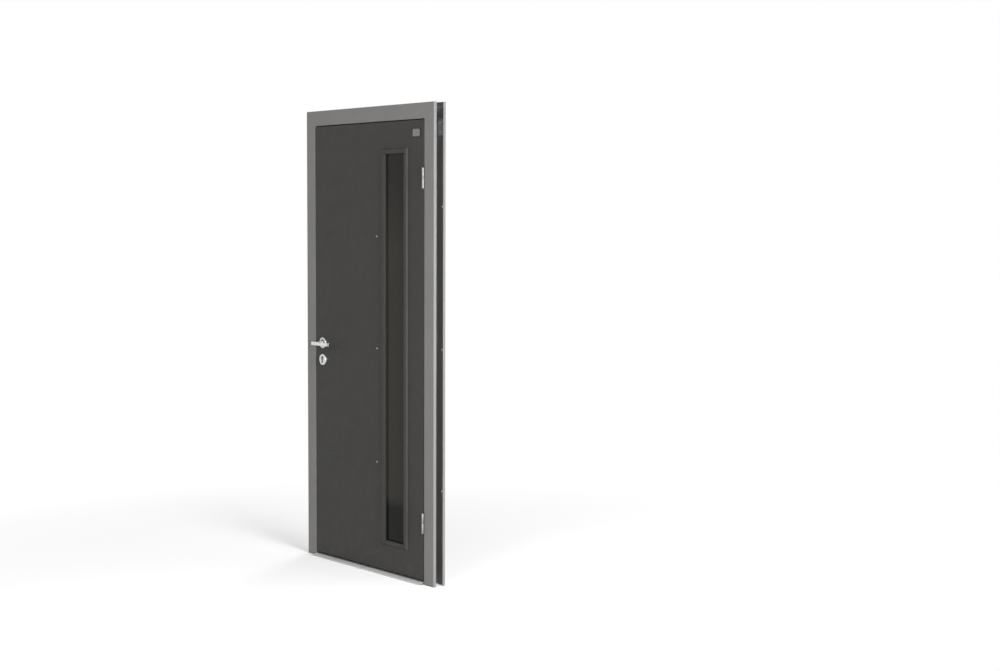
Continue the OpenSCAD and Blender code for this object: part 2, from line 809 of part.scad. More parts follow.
module outer_skin() {
    color(leaf_grey) difference() {
        union() {
            skin_tray();
            intersection() {
                bead_bars(bead_r);
                span([lock_edge, -bead_h - past, leaf_z], [hinge_edge, skin_t, leaf_top]);
            }
        }
        bead_bars(bead_r - skin_t);
        window_hole(bezel_wall + fit, -past, skin_t + past);
        lock_edge_cut();
        leaf_hinge_holes(screw_room);
        lock_holes(-past, skin_t + past);
    }
}

module skin_tray() {
    translate([0, 0, leaf_mid]) difference() {
        soft_panel(leaf_w, leaf_h, 0, leaf_t, leaf_edge_r);
        soft_panel(leaf_w - 2 * skin_t, leaf_h - 2 * skin_t, skin_t, skin_back, leaf_edge_r - skin_t);
        span([hem_w - leaf_w / 2, leaf_t / 2, hem_w - leaf_h / 2],
            [leaf_w / 2 - hem_w, leaf_t + past, leaf_h / 2 - hem_w]);
    }
}

module window_hole(room, y0, y1) {
    at_window() span([-win_w / 2 - room, y0, -win_h / 2 - room], [win_w / 2 + room, y1, win_h / 2 + room]);
}

// Opening for the forend in the lock edge
module lock_edge_cut() {
    half = forend_w / 2 + fit;
    span([lock_edge - past, lock_y - half, case_mid - forend_h / 2 - fit],
        [lock_edge + skin_t + past, lock_y + half, case_mid + forend_h / 2 + fit]);
}

// Holes for the lever collar, the cylinder and the through bolts
module lock_holes(y0, y1) {
    at_lever() rod_y(collar_r + skin_room, y0, y1);
    at_key() along_y(y0, y1) cylinder_outline(skin_room);
    at_rose_bolts() rod_y(rose_bolt_d / 2 + fit, y0, y1);
}

module at_rose_bolts() {
    for (z = [lever_z, key_rose_z], side = [-1, 1]) translate([lever_x + side * rose_bolt, 0, z]) children();
}

module inner_skin() {
    w = leaf_w - 2 * (skin_t + fit);
    h = leaf_h - 2 * (skin_t + fit);
    color(leaf_grey) difference() {
        translate([0, 0, leaf_mid]) span([-w / 2, lid_y, -h / 2], [w / 2, skin_back, h / 2]);
        window_hole(trim_t + fit, lid_y - past, skin_back + past);
        lock_holes(lid_y - past, skin_back + past);
        at_trim_spots() rod_y(trim_screw_d / 2, lid_y - past, skin_back + past);
    }
}

// Two channels between the skins, midway between the beads
module leaf_stiffeners() {
    t = 1;
    inside_r = 1;
    flange = 25;
    pane_gap = 12;
    x1 = win_x - win_w / 2 - pane_lap - pane_gap;
    y0 = skin_t + t / 2;
    y1 = lid_y - t / 2;
    color(zinc) for (z = [(bead_low + lever_h) / 2, (bead_high + lever_h) / 2])
        along_x(lock_edge + leaf_edge_r + fit, x1) translate([0, leaf_z + z])
            folded([[y0, -flange], [y0, 0], [y1, 0], [y1, -flange]], t, inside_r);
}

// Window: a hollow bezel, gasket, pane and inner retainer, clamped together
module window_bezel() {
    foot = bezel_w + bezel_slope;
    hollow = foot - bezel_wall - bezel_lip;
    color(leaf_grey) at_window() difference() {
        union() {
            difference() {
                sloped_panel(win_w + 2 * foot, win_h + 2 * foot, bezel_h, bezel_slope, bezel_lip);
                translate([0, past, 0]) sloped_panel(win_w + 2 * hollow, win_h + 2 * hollow,
                    bezel_h - bezel_wall + past, bezel_slope, bezel_lip + past);
            }
            box_ring(win_w, win_h, bezel_wall, bezel_lip - bezel_h, rim_d);
        }
        span([-win_w / 2, -bezel_h - past, -win_h / 2], [win_w / 2, rim_d + past, win_h / 2]);
    }
}

module glazing_gasket() {
    edge = 0.5;
    inside = 2 * edge;
    color(rubber) at_window() box_ring(win_w + inside, win_h + inside, pane_lap - inside, rim_d, pane_y);
}

module window_pane() {
    w = win_w + 2 * pane_lap;
    h = win_h + 2 * pane_lap;
    color(smoke) at_window() translate([-w / 2, pane_y, -h / 2]) cube([w, pane_t, h]);
}

module window_retainer() {
    color(leaf_grey) difference() {
        at_window() {
            box_ring(win_w, win_h, trim_t, pane_back, trim_face);
            box_ring(win_w, win_h, trim_w, skin_back, trim_face);
        }
        at_trim_spots() rod_y(trim_screw_d / 2 + screw_room, skin_back - past, trim_face + past);
    }
}

// Screw places down both long sides and at the middle of both ends
module at_trim_spots() {
    row = trim_t + (trim_w - trim_t) / 2;
    step = win_h / trim_screws;
    at_window() {
        for (i = [0:trim_screws - 1], side = [-1, 1])
            translate([side * (win_w / 2 + row), 0, (i + 0.5) * step - win_h / 2]) children();
        for (side = [-1, 1]) translate([0, 0, side * (win_h / 2 + row)]) children();
    }
}

module retainer_screws() {
    color(zinc) at_trim_spots() pan_screw(trim_screw_d, lid_y - screw_end, trim_face);
}

// Lock: a saddle in the lock edge carries the forend and the case
module lock_saddle() {
    h = saddle_t / 2;
    x0 = case_x + h;
    x1 = case_x + saddle_leg;
    y0 = skin_t + h;
    y1 = lid_y - h;
    color(zinc) difference() {
        translate([0, 0, case_mid - forend_h / 2 - saddle_end]) linear_extrude(forend_h + 2 * saddle_end)
            folded([[x1, y0], [x0, y0], [x0, y1], [x1, y1]], saddle_t, saddle_r);
        span([case_x - past, lock_y - case_t / 2 - fit, case_bottom - fit],
            [case_x + saddle_t + past, lock_y + case_t / 2 + fit, case_top + fit]);
        at_forend_screws() rod_x(forend_screw_d / 2, -past, forend_t + saddle_t + past);
    }
}

forend_screw_d = 4.5;
forend_head_d = 8.4;
forend_head_h = 2.2;

module at_forend_screws() {
    for (side = [-1, 1])
        translate([lock_edge, lock_y, case_mid + side * (forend_h / 2 - forend_end / 3)]) children();
}

// Openings for the two bolts and the cylinder's screw through the forend and the case's front
module lock_front_holes(x0, x1) {
    half = bolt_t / 2 + lock_clear;
    span([x0, lock_y - half, latch_z0 - lock_clear], [x1, lock_y + half, latch_z0 + latch_h + lock_clear]);
    span([x0, lock_y - half, bolt_z0 - lock_clear], [x1, lock_y + half, bolt_z1 + lock_clear]);
    translate([0, lock_y, key_z - profile_drop]) rod_x(cylinder_screw_d / 2 + screw_room, x0, x1);
}

module lock_forend() {
    color(steel) difference() {
        span([lock_edge, lock_y - forend_w / 2, case_mid - forend_h / 2],
            [case_x, lock_y + forend_w / 2, case_mid + forend_h / 2]);
        lock_front_holes(lock_edge - past, case_x + past);
        at_forend_screws() sunk_hole(forend_screw_d, forend_head_d, forend_head_h, forend_t + past);
        at_cylinder_screw() sunk_hole(cylinder_screw_d, cylinder_head_d, forend_head_h, forend_t + past);
    }
}

module forend_screws() {
    color(steel) at_forend_screws()
        sunk_screw(forend_screw_d, forend_head_d, forend_head_h, forend_t + saddle_t + screw_end);
}

case_y0 = lock_y - case_t / 2;
case_y1 = lock_y + case_t / 2;
case_x1 = case_x + case_l;

module lock_case_holes() {
    at_lever() rod_y(journal_r + lock_clear, 0, leaf_t);
    at_key() along_y(0, leaf_t) cylinder_outline(cylinder_room);
    at_rose_bolts() rod_y(rose_bolt_d / 2 + fit, 0, leaf_t);
}

module lock_case() {
    w = case_wall;
    color(zinc) difference() {
        span([case_x, case_y0, case_bottom], [case_x1, case_y1 - w, case_top]);
        span([case_x + w, case_y0 + w, case_bottom + w], [case_x1 - w, case_y1, case_top - w]);
        lock_front_holes(case_x - past, case_x + w + past);
        lock_case_holes();
    }
}

module lock_case_cover() {
    color(zinc) difference() {
        span([case_x, case_y1 - case_wall, case_bottom], [case_x1, case_y1, case_top]);
        lock_case_holes();
    }
}

// Roses: a cover over a base, on both sides, drawn together by through bolts
module turned_out() { rotate([90, 0, 0]) rotate_extrude() children(); }

module rose_cap_section() {
    r = rose_d / 2;
    difference() {
        union() {
            square([r, rose_h - rose_r]);
            square([r - rose_r, rose_h]);
            translate([r - rose_r, rose_h - rose_r]) circle(rose_r);
        }
        translate([0, -past]) square([r - rose_wall, rose_h - rose_wall + past]);
    }
}

module rose_base_bolts(sunk) {
    room = sunk ? screw_room : 0;
    y0 = sunk ? -rose_base_h - past : bolt_blind - rose_base_h;
    for (side = [-1, 1]) translate([side * rose_bolt, 0, 0]) {
        rod_y(rose_bolt_d / 2 + room, y0, past);
        if (sunk) rod_y(bolt_head_r + screw_room, -rose_base_h - past, bolt_head_h - rose_base_h);
    }
}

bolt_head_r = 3.5;
bolt_head_h = 3;
bolt_head_sink = 0.5;                       // room over a bolt's head under the cover
bolt_blind = 2;                             // wall left in front of a tapped hole
dish_lip = 1;                               // ledge of the base inside the cover's eye

module rose_base(sunk) {
    difference() {
        rod_y(rose_base_r, -rose_base_h, 0);
        rod_y(collar_r + lock_clear, -rose_base_h - past, past);
        rod_y(rose_eye / 2 - dish_lip, -rose_base_h - past, rose_dish - rose_base_h);
        rose_base_bolts(sunk);
    }
}

module key_rose_base(sunk) {
    difference() {
        rod_y(rose_base_r, -rose_base_h, 0);
        translate([0, 0, key_rose_drop]) along_y(-rose_base_h - past, past) cylinder_outline(cylinder_room);
        rose_base_bolts(sunk);
    }
}

module lever_rose_cap() {
    at_lever() difference() {
        turned_out() rose_cap_section();
        rod_y(rose_eye / 2, -rose_h - past, 0);
    }
}

module key_rose_cap() {
    difference() {
        at_key_rose() turned_out() rose_cap_section();
        at_key() along_y(-rose_h - past, 0) cylinder_outline(cylinder_room);
    }
}

module outer_rose_base() { color(rubber) at_lever() rose_base(false); }

module inner_rose_base() { color(rubber) inner_side() at_lever() rose_base(true); }

module outer_rose() { color(steel) lever_rose_cap(); }

module inner_rose() { color(steel) inner_side() lever_rose_cap(); }

module outer_key_rose_base() { color(rubber) at_key_rose() key_rose_base(false); }

module inner_key_rose_base() { color(rubber) inner_side() at_key_rose() key_rose_base(true); }

module outer_key_rose() { color(steel) key_rose_cap(); }

module inner_key_rose() { color(steel) inner_side() key_rose_cap(); }

module rose_bolts() {
    head_y = skin_back + rose_base_h - bolt_head_h;
    color(zinc) at_rose_bolts() {
        rod_y(rose_bolt_d / 2, bolt_blind + past - rose_base_h, head_y);
        rod_y(bolt_head_r, head_y, head_y + bolt_head_h - bolt_head_sink);
    }
}

// Cylinder: the body, and the plug, cam and thumb turn that turn in it
cylinder_screw_d = 5;
cylinder_head_d = 8.6;

module at_cylinder_screw() { translate([lock_edge, lock_y, key_z - profile_drop]) children(); }

module lock_cylinder() {
    gap = cam_half + lock_clear;
    color(steel) difference() {
        at_key() along_y(cylinder_y0, cylinder_y1) cylinder_outline(0);
        at_key() rod_y(plug_r + screw_room, cylinder_y0 - past, cylinder_y1 + past);
        at_key() span([-profile_r - past, lock_y - gap, -cam_r - past],
            [profile_r + past, lock_y + gap, profile_r + past]);
        at_cylinder_screw() rod_x(cylinder_screw_d / 2, 0, backset + profile_web);
    }
}

module cylinder_screw() {
    color(steel) at_cylinder_screw()
        sunk_screw(cylinder_screw_d, cylinder_head_d, forend_head_h, backset + profile_web / 2);
}

module cylinder_plug() {
    slot_h = 8.6;
    slot_w = 2;
    slot_d = 14;
    slot_top = 1.5;
    color(steel) at_key() difference() {
        rod_y(plug_r, cylinder_y0, lock_y - cam_half);
        span([-slot_w / 2, cylinder_y0 - past, slot_top - slot_h],
            [slot_w / 2, cylinder_y0 + slot_d, slot_top]);
    }
}

module cylinder_cam() {
    tip_w = 8;
    rest = 30;
    color(zinc) at_key() {
        rod_y(profile_r - turn_room, lock_y - cam_half, lock_y + cam_half);
        rotate([0, rest, 0]) intersection() {
            span([-tip_w / 2, lock_y - cam_half, -cam_r], [tip_w / 2, lock_y + cam_half, 0]);
            rod_y(cam_r, lock_y - cam_half, lock_y + cam_half);
        }
    }
}

module thumb_turn() {
    neck = 2;
    knob_w = 30;
    knob_h = 12;
    knob_l = 14;
    knob_r = 5.5;
    color(steel) at_key() {
        rod_y(plug_r, lock_y + cam_half, cylinder_y1 + neck);
        along_y(cylinder_y1 + neck, cylinder_y1 + neck + knob_l) soft_rect(knob_h, knob_w, knob_r);
    }
}

// Levers: a round collar in the rose, then a neck that carries the straight grip
module lever() {
    at_lever() difference() {
        union() {
            rod_y(collar_r, collar_end, -skin_room);
            along_y(grip_y, collar_end + past) soft_rect(neck_w, neck_h, grip_r);
            translate([0, grip_y, 0]) along_x(-grip_back, lever_l) soft_rect(grip_d, grip_h, grip_r);
        }
        spindle_socket();
        grub_hole();
    }
}

socket_d = 14;
socket_end = collar_end - socket_d;

module spindle_socket() {
    half = spindle_w / 2 + screw_room;
    span([-half, socket_end, -half], [half, past, half]);
}

grub_d = 5;
grub_in = 5;                                // distance of the screw from the socket's end
grub_sink = 1;

// The screw that clamps the lever to the spindle, from the underside of the neck
module grub_hole() { translate([0, socket_end + grub_in, -grip_h]) cylinder(r = grub_d / 2, h = grip_h); }

module grub_screw() {
    at_lever() translate([0, socket_end + grub_in, grub_sink - neck_h / 2])
        cylinder(r = grub_d / 2, h = neck_h / 2 - grub_sink - spindle_w / 2);
}

module outer_lever() { color(steel) lever(); }

module inner_lever() { color(steel) inner_side() lever(); }

module lever_grub_screws() {
    color(zinc) {
        grub_screw();
        inner_side() grub_screw();
    }
}

module lever_spindle() {
    half = spindle_w / 2;
    y0 = socket_end + turn_room;
    color(zinc) at_lever() span([-half, y0, -half], [half, skin_back - y0, half]);
}

// The follower turns with the spindle, and its arm draws the latch bolt back
module lock_follower() {
    half = case_inside / 2 - lock_clear;
    square_half = spindle_w / 2 + screw_room;
    color(zinc) at_lever() difference() {
        union() {
            rod_y(follower_r - turn_room, lock_y - half, lock_y + half);
            rod_y(journal_r, case_y0, case_y1);
            span([-follower_arm_w / 2, lock_y - half, 0], [follower_arm_w / 2, lock_y + half, follower_arm]);
        }
        span([-square_half, 0, -square_half], [square_half, leaf_t, square_half]);
    }
}

// Play between a turning piece of the lock and the bolt it moves
pull_gap = 1.2;

// The latch bolt: a bevelled head, a bar over the follower and a hook that the arm pulls
module latch_bolt() {
    neck = 6;
    hook_t = 5;
    tip_t = 2;
    head_end = lever_x - follower_r - neck;
    hook_x = lever_x + follower_arm_w / 2 + pull_gap;
    bar_z = lever_z + follower_arm + pull_gap;
    y0 = lock_y - bolt_t / 2;
    y1 = lock_y + bolt_t / 2;
    color(steel) {
        translate([0, 0, latch_z0]) linear_extrude(latch_h) polygon([[latch_tip, y0], [latch_tip, y0 + tip_t],
            [lock_edge, y1], [head_end, y1], [head_end, y0]]);
        span([head_end - past, y0, bar_z], [hook_x + past, y1, latch_z0 + latch_h]);
        span([hook_x, y0, latch_z0 + turn_room], [hook_x + hook_t, y1, latch_z0 + latch_h]);
    }
}

// The dead bolt: a square head and a tail that passes under the follower, above the cam
module dead_bolt() {
    neck = 8;
    shoulder = 12;
    tail_end = 10;
    head_end = lever_x - follower_r - neck;
    tail_z0 = key_z + cam_r + pull_gap;
    tail_z1 = bolt_z1 - shoulder;
    y0 = lock_y - bolt_t / 2;
    y1 = lock_y + bolt_t / 2;
    color(steel) {
        span([lock_edge, y0, bolt_z0], [head_end, y1, bolt_z1]);
        span([head_end - past, y0, tail_z0], [lever_x + tail_end, y1, tail_z1]);
    }
}

hinge_jamb();
lock_jamb();
frame_head();
threshold();
threshold_screws();
corner_cleats();
corner_screws();
frame_seal();
strike_plate();
strike_screws();
frame_backing_plates();
upper_hinge_frame_leaf();
lower_hinge_frame_leaf();
upper_hinge_pin();
lower_hinge_pin();
hinge_washers();
hinge_frame_screws();
outer_skin();
inner_skin();
leaf_stiffeners();
lock_saddle();
leaf_backing_plates();
upper_hinge_door_leaf();
lower_hinge_door_leaf();
hinge_door_screws();
window_bezel();
glazing_gasket();
window_pane();
window_retainer();
retainer_screws();
lock_case();
lock_case_cover();
lock_forend();
forend_screws();
outer_rose_base();
inner_rose_base();
outer_rose();
inner_rose();
outer_key_rose_base();
inner_key_rose_base();
outer_key_rose();
inner_key_rose();
rose_bolts();
lock_cylinder();
cylinder_screw();
outer_lever();
inner_lever();
lever_spindle();
lock_follower();
lever_grub_screws();
latch_bolt();
dead_bolt();
cylinder_plug();
cylinder_cam();
thumb_turn();
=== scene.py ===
"""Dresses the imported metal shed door: coats, brushed metal, glazing, screws and a studio stage."""

import json
import math

import bmesh
import bpy
from bpy.props import FloatProperty, FloatVectorProperty, PointerProperty
from mathutils import Matrix, Vector


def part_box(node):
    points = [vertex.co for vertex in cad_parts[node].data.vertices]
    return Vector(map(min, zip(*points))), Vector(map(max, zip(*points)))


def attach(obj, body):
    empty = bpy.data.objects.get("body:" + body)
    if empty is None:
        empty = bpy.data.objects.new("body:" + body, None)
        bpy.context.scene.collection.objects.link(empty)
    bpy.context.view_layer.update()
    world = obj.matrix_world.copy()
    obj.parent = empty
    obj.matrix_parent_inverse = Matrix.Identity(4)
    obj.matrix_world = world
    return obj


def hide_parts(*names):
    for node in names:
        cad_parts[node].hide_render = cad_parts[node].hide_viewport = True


bl_info = {
    "name": "Metal Shed Door",
    "version": (1, 0, 0),
    "blender": (4, 5, 0),
    "location": "View3D > Sidebar > Shed Door",
    "description": "Dresses the packed shed door and sets up its studio stage",
    "category": "Object",
}

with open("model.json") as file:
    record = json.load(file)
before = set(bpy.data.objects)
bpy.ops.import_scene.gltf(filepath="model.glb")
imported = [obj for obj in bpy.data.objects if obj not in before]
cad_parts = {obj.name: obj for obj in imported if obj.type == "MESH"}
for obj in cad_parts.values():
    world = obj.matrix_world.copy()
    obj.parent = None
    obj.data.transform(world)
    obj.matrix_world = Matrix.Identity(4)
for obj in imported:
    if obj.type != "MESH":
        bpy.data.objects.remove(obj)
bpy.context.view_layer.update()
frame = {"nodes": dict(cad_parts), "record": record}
NODES = frame["nodes"]
SLOT_OF = {part["node"]: part["material_slot"] for part in frame["record"]["subparts"]}
BODY_OF = {
    node: body
    for body, members in frame["record"]["behaviour"]["bodies"].items()
    for node in members
}
X_AXIS = 0
Y_AXIS = 1
UP = Vector((0.0, 0.0, 1.0))
QUARTER_TURN = math.pi / 2
SAME_POINT = 0.00001


def middle(node):
    """The middle of a CAD node's box."""
    low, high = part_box(node)
    return (low + high) / 2


# Settings


def colour(name, description, default):
    """A colour that a user may change."""
    return FloatVectorProperty(
        name=name, description=description, subtype="COLOR", size=3, min=0.0, max=1.0, default=default
    )


def length(name, description, default):
    """A length in metres that a user may change."""
    return FloatProperty(
        name=name, description=description, unit="LENGTH", min=0.0, default=default, precision=4
    )


def power(name, description, default):
    """A lamp's power in watts that a user may change."""
    return FloatProperty(name=name, description=description, unit="POWER", min=0.0, default=default)


def strength(name, description, default):
    """A strength of light that a user may change."""
    return FloatProperty(name=name, description=description, min=0.0, default=default)


class ShedDoorColours(bpy.types.PropertyGroup):
    """Colours of the door's finishes."""

    leaf: colour("Leaf coat", "Powder coat of the leaf", (0.0356, 0.0345, 0.0321))
    frame: colour("Frame coat", "Powder coat of the frame", (0.163, 0.160, 0.157))
    stainless: colour("Stainless", "Brushed stainless steel", (0.56, 0.56, 0.55))
    # Painted highlight and shade: the levers and key roses get this lighter copy of the stainless colour;
    # the lever roses keep the darker plain stainless, as shade from the lever.
    handle: colour("Handle", "Bright brushed steel of the levers and key roses", (0.72, 0.72, 0.706))
    hinge: colour("Hinge", "Dull steel of the hinges", (0.25, 0.25, 0.246))
    # Painted shade: a darker copy of nickel for the cylinder and plug, standing in for the shade on the
    # cylinder's face.
    shaded_nickel: colour("Nickel", "Dull nickel of the cylinder", (0.20, 0.20, 0.195))
    zinc: colour("Zinc", "Zinc plated steel", (0.46, 0.48, 0.50))
    sill: colour("Sill", "Bare aluminium of the threshold", (0.50, 0.50, 0.492))
    rubber: colour("Rubber", "Seals and gasket", (0.012, 0.012, 0.012))
    nylon: colour("Nylon", "Rose bases and bearing washers", (0.016, 0.016, 0.017))
    acrylic: colour("Acrylic", "Smoked window pane", (0.0278, 0.0268, 0.0229))
    plate: colour("Plate", "Small bare plate and studs on the leaf", (0.22, 0.22, 0.218))
    dust: colour("Dust", "Dust on the coats near the floor", (0.22, 0.20, 0.175))
    floor: colour("Floor", "Studio floor", (0.90, 0.90, 0.90))


class ShedDoorSizes(bpy.types.PropertyGroup):
    """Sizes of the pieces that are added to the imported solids."""

    plate_width: length("Plate width", "Width of the bare plate", 0.047)
    plate_height: length("Plate height", "Height of the bare plate", 0.033)
    plate_thick: length("Plate thickness", "Thickness of the bare plate", 0.0014)
    plate_corner: length("Plate corner", "Corner radius of the bare plate", 0.004)
    plate_rim: length("Plate rim", "Width of the bare plate's raised rim", 0.0018)
    plate_step: length("Plate step", "Height of the rim and roundness of the plate's edge", 0.0004)
    plate_edge: length("Plate from hinge edge", "Plate's middle from the leaf's hinge edge", 0.050)
    plate_drop: length("Plate from top", "Plate's middle from the leaf's top", 0.056)
    bead_low: length("Low bead", "Height of the lowest bead", 0.512)
    bead_high: length("High bead", "Height of the highest bead", 1.546)
    bead_end: length("Bead end", "Window end of the beads, from the leaf's middle", 0.0745)
    stud_radius: length("Stud radius", "Radius of the stud at the end of a bead", 0.0056)
    stud_height: length("Stud height", "Height of the stud at the end of a bead", 0.0040)
    stud_sunk: length("Stud sunk", "How deep a stud's foot sits in the leaf", 0.0005)
    tread_height: length("Tread height", "Height of the threshold's tread", 0.010)
    rib_width: length("Rib width", "Width of a grip rib on the threshold", 0.0014)
    rib_height: length("Rib height", "Height of a grip rib on the threshold", 0.0006)
    rib_sunk: length("Rib sunk", "How deep a grip rib's foot sits in the tread", 0.0004)
    rib_edge: length("Rib edge", "Bevel of a grip rib's edges", 0.0002)
    rib_pitch: length("Rib pitch", "Distance between grip ribs", 0.0032)
    rib_from_jamb: length("Rib from jamb", "First grip rib from the jambs' face", 0.002)
    rib_from_end: length("Rib from end", "Ends of the grip ribs from the threshold's ends", 0.004)
    pan_height: length("Pan head height", "Height of a pan screw head", 0.0020)
    handle_round: length("Handle rounding", "Rounding of the levers and the thumb turn", 0.0010)
    hinge_round: length("Hinge rounding", "Rounding of the hinges and the threshold", 0.0005)
    bolt_round: length("Bolt rounding", "Rounding of the bolts and the forend", 0.0004)


class ShedDoorStage(bpy.types.PropertyGroup):
    """Camera and light."""

    camera_place: FloatVectorProperty(
        name="Camera",
        description="Place of the camera",
        subtype="TRANSLATION",
        size=3,
        default=(6.098, -4.398, 1.622),
    )
    camera_turn: FloatVectorProperty(
        name="Camera turn",
        description="Turn of the camera",
        subtype="EULER",
        size=3,
        default=(math.radians(85.956), math.radians(-0.238), math.radians(49.565)),
    )
    camera_lens: FloatProperty(name="Lens", description="Focal length", unit="CAMERA", default=58.77)
    key_power: power("Key light", "Power of the soft key light", 130.0)
    side_power: power("Side light", "Power of the light from the side", 420.0)
    back_power: power("Back light", "Power of the light behind the door", 110.0)
    sky: strength("Sky", "Strength of the even light all round", 0.46)
    floor_glow: strength("Floor glow", "How far the floor is lifted to white", 0.14)
    shadow_near: length("Shadow", "How far from the door the floor keeps its whole shadow", 0.9)
    shadow_far: length("Shadow end", "Where the floor has turned white", 2.6)


# Materials


class Finish:
    """A node material on Object coordinates."""

    def __init__(self, name):
        self.material = bpy.data.materials.new(name)
        self.material.use_nodes = True
        self.tree = self.material.node_tree
        self.shader = self.tree.nodes["Principled BSDF"]
        self.place = self.add("ShaderNodeTexCoord").outputs["Object"]

    def add(self, kind, **inputs):
        """Adds a node; an input's name has _ for each space."""
        node = self.tree.nodes.new(kind)
        for key, value in inputs.items():
            self.feed(node.inputs[key.replace("_", " ")], value)
        return node

    def feed(self, socket, value):
        """Links a socket to another one or gives it a fixed value."""
        if isinstance(value, bpy.types.NodeSocket):
            self.tree.links.new(value, socket)
        else:
            socket.default_value = value

    def set(self, socket, value):
        """Feeds a socket of the shader."""
        self.feed(self.shader.inputs[socket], value)

    def stretched(self, scale, shift=(0.0, 0.0, 0.0)):
        """The place, scaled along each axis and shifted."""
        return self.add("ShaderNodeMapping", Vector=self.place, Scale=scale, Location=shift).outputs[0]

    def noise(self, scale, detail=2.0, vector=None):
        """Noise in space."""
        vector = self.place if vector is None else vector
        return self.add("ShaderNodeTexNoise", Vector=vector, Scale=scale, Detail=detail).outputs[0]

    def noise_line(self, value, scale, detail=3.0):
        """Noise along one number."""
        node = self.tree.nodes.new("ShaderNodeTexNoise")
        node.noise_dimensions = "1D"
        self.feed(node.inputs["W"], value)
        node.inputs["Scale"].default_value = scale
        node.inputs["Detail"].default_value = detail
        return node.outputs[0]

    def spread(self, value, low, high, start=0.3, end=0.7):
        """Runs from low to high as the value goes from start to end."""
        return self.add(
            "ShaderNodeMapRange", Value=value, From_Min=start, From_Max=end, To_Min=low, To_Max=high
        ).outputs[0]

    def maths(self, how, a, b=0.0):
        """One sum of two numbers."""
        node = self.tree.nodes.new("ShaderNodeMath")
        node.operation = how
        self.feed(node.inputs[0], a)
        self.feed(node.inputs[1], b)
        return node.outputs[0]

    def distance(self, a, b):
        """How far a point lies from the origin of two axes."""
        squares = self.maths("ADD", self.maths("MULTIPLY", a, a), self.maths("MULTIPLY", b, b))
        return self.maths("SQRT", squares)

    def split(self, vector=None):
        """The three numbers of a vector, by default of the place."""
        return self.add("ShaderNodeSeparateXYZ", Vector=self.place if vector is None else vector).outputs

    def mixed(self, share, first, second):
        """A colour between two."""
        node = self.tree.nodes.new("ShaderNodeMix")
        node.data_type = "RGBA"
        self.feed(node.inputs[0], share)
        for socket, value in ((node.inputs[6], first), (node.inputs[7], second)):
            self.feed(socket, value if isinstance(value, bpy.types.NodeSocket) else (*value, 1.0))
        return node.outputs[2]

    def tones(self, value, base, dark, light, start=0.3, end=0.7):
        """A colour from a darker to a lighter tone of the base."""
        return self.mixed(self.spread(value, 0.0, 1.0, start, end), toned(base, dark), toned(base, light))

    def bump(self, height, depth, strength, normal=None):
        """A normal from a height, on top of another normal if one is given."""
        node = self.add("ShaderNodeBump", Height=height, Distance=depth, Strength=strength)
        if normal is not None:
            self.feed(node.inputs["Normal"], normal)
        return node.outputs[0]


def toned(base, share):
    """A darker or lighter tone of a colour."""
    return tuple(min(1.0, channel * share) for channel in base)


def powder_coat(name, base, dust, rough, gloss):
    """Sprayed and baked coat: fine orange peel, faint clouds, rain streaks and dust near the floor."""
    coat = Finish(name)
    clouds = coat.tones(coat.noise(2.4, detail=4.0), base, 0.965, 1.035)
    streaks = coat.noise(1.0, detail=3.0, vector=coat.stretched((46.0, 46.0, 0.9)))
    streaked = coat.mixed(coat.spread(streaks, 0.0, 0.16, start=0.52, end=0.80), clouds, toned(base, 1.25))
    near_floor = coat.spread(coat.split()[2], 1.0, 0.0, start=0.02, end=0.30)
    specks = coat.spread(coat.noise(26.0, detail=5.0), 0.0, 0.05, start=0.42, end=0.72)
    coat.set("Base Color", coat.mixed(coat.maths("MULTIPLY", near_floor, specks), streaked, dust))
    coat.set("Roughness", coat.spread(coat.noise(17.0, detail=4.0), rough - 0.05, rough + 0.06))
    peel = coat.bump(coat.noise(520.0), depth=0.00022, strength=0.35)
    coat.set("Normal", coat.bump(coat.noise(9.0), depth=0.0009, strength=0.25, normal=peel))
    coat.set("Specular IOR Level", gloss)
    return coat.material


def brushed_metal(name, base, grain, rough=0.30, bare=1.0):
    """Metal brushed along one axis.

    grain is the scale of the brush lines along X, Y and Z, and bare is the share of bare metal.
    """
    metal = Finish(name)
    lines = metal.noise(1.0, detail=3.0, vector=metal.stretched(grain))
    metal.set("Base Color", metal.tones(lines, base, 0.88, 1.08))
    smears = metal.spread(metal.noise(38.0, detail=4.0), -0.03, 0.06)
    metal.set("Roughness", metal.maths("ADD", smears, metal.spread(lines, rough - 0.06, rough + 0.08)))
    metal.set("Normal", metal.bump(lines, depth=0.00006, strength=0.5))
    metal.set("Metallic", bare)
    return metal.material


def turned_metal(name, base, centre, rough):
    """Metal turned about an axis along Y through a point: fine rings round it."""
    metal = Finish(name)
    local = metal.split(metal.stretched((1.0, 1.0, 1.0), shift=-centre))
    rings = metal.noise_line(metal.distance(local[0], local[2]), 1500.0)
    metal.set("Base Color", metal.tones(rings, base, 0.86, 1.08))
    metal.set("Roughness", metal.spread(rings, rough - 0.06, rough + 0.09))
    metal.set("Normal", metal.bump(rings, depth=0.00005, strength=0.5))
    metal.set("Metallic", 1.0)
    return metal.material


def zinc_plate(name, base):
    """Zinc plating: faint crystals and a cloudy bloom."""
    metal = Finish(name)
    crystals = metal.add("ShaderNodeTexVoronoi", Vector=metal.place, Scale=170.0).outputs["Color"]
    metal.set("Base Color", metal.tones(metal.split(crystals)[0], base, 0.84, 1.10, start=0.0, end=1.0))
    metal.set("Roughness", metal.spread(metal.noise(42.0, detail=4.0), 0.34, 0.54))
    metal.set("Normal", metal.bump(metal.noise(700.0), depth=0.00005, strength=0.4))
    metal.set("Metallic", 1.0)
    return metal.material


